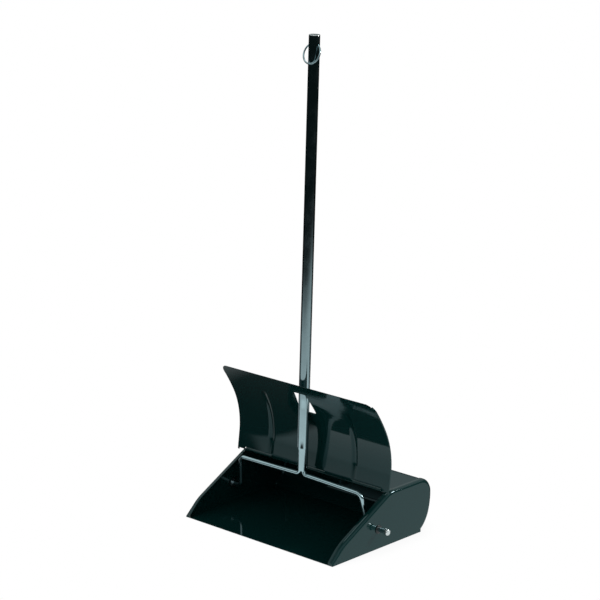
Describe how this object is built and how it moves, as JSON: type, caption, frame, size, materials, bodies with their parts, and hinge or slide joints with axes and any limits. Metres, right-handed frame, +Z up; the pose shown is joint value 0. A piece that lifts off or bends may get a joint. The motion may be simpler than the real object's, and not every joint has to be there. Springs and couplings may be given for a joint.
{
  "type": "long-handled lobby dust pan",
  "caption": "Self-closing upright lobby dust pan: black enamelled steel pan with a hinged curved lid, a chromed rod bail and a long chromed tube handle with a hang ring.",
  "frame": {"origin": "on the floor under the middle of the pan, halfway from the sweeping lip to the back", "axes": "+Z up, -Y towards the sweeping lip, +X towards the right end panel as seen from the lip side"},
  "size_m": [0.345, 0.223, 0.7478],
  "materials": {
    "black_enamel": "gloss stoved enamel",
    "chrome": "polished chrome plate",
    "chrome_cap": "bright plated",
    "zinc_steel": "zinc plate",
    "black_plastic": "moulded, slight sheen"
  },
  "bodies": {
    "pan": {"pan_sheet": "black_enamel", "left_end_panel": "black_enamel", "right_end_panel": "black_enamel", "lid_hinge_pin": "zinc_steel", "left_pivot_bush": "black_plastic", "right_pivot_bush": "black_plastic"},
    "bail_and_handle": {"bail_left_rod": "chrome", "bail_right_rod": "chrome", "handle_tube": "chrome", "handle_plug": "chrome_cap", "left_pivot_washer": "zinc_steel", "right_pivot_washer": "zinc_steel", "left_pivot_cap": "chrome_cap", "right_pivot_cap": "chrome_cap"},
    "lid": {"lid": "black_enamel"},
    "hang_ring": {"hang_ring": "chrome"}
  },
  "joints": [
    {"name": "bail_pivot", "type": "hinge", "parent": "pan", "child": "bail_and_handle", "pos_m": [0, -0.011, 0.0305], "axis": [1, 0, 0], "range_deg": [0, 72]},
    {"name": "lid_hinge", "type": "hinge", "parent": "pan", "child": "lid", "pos_m": [0, 0.009, 0.08365], "axis": [1, 0, 0], "range_deg": [0, 98]},
    {"name": "ring_swing", "type": "hinge", "parent": "bail_and_handle", "child": "hang_ring", "pos_m": [0, 0.01236, 0.73249], "axis": [-1, 0, 0], "range_deg": [0, 318]}
  ],
  "couplings": [
    {"joint": "lid_hinge", "follows": "bail_pivot", "ratio": 1.36}
  ]
}
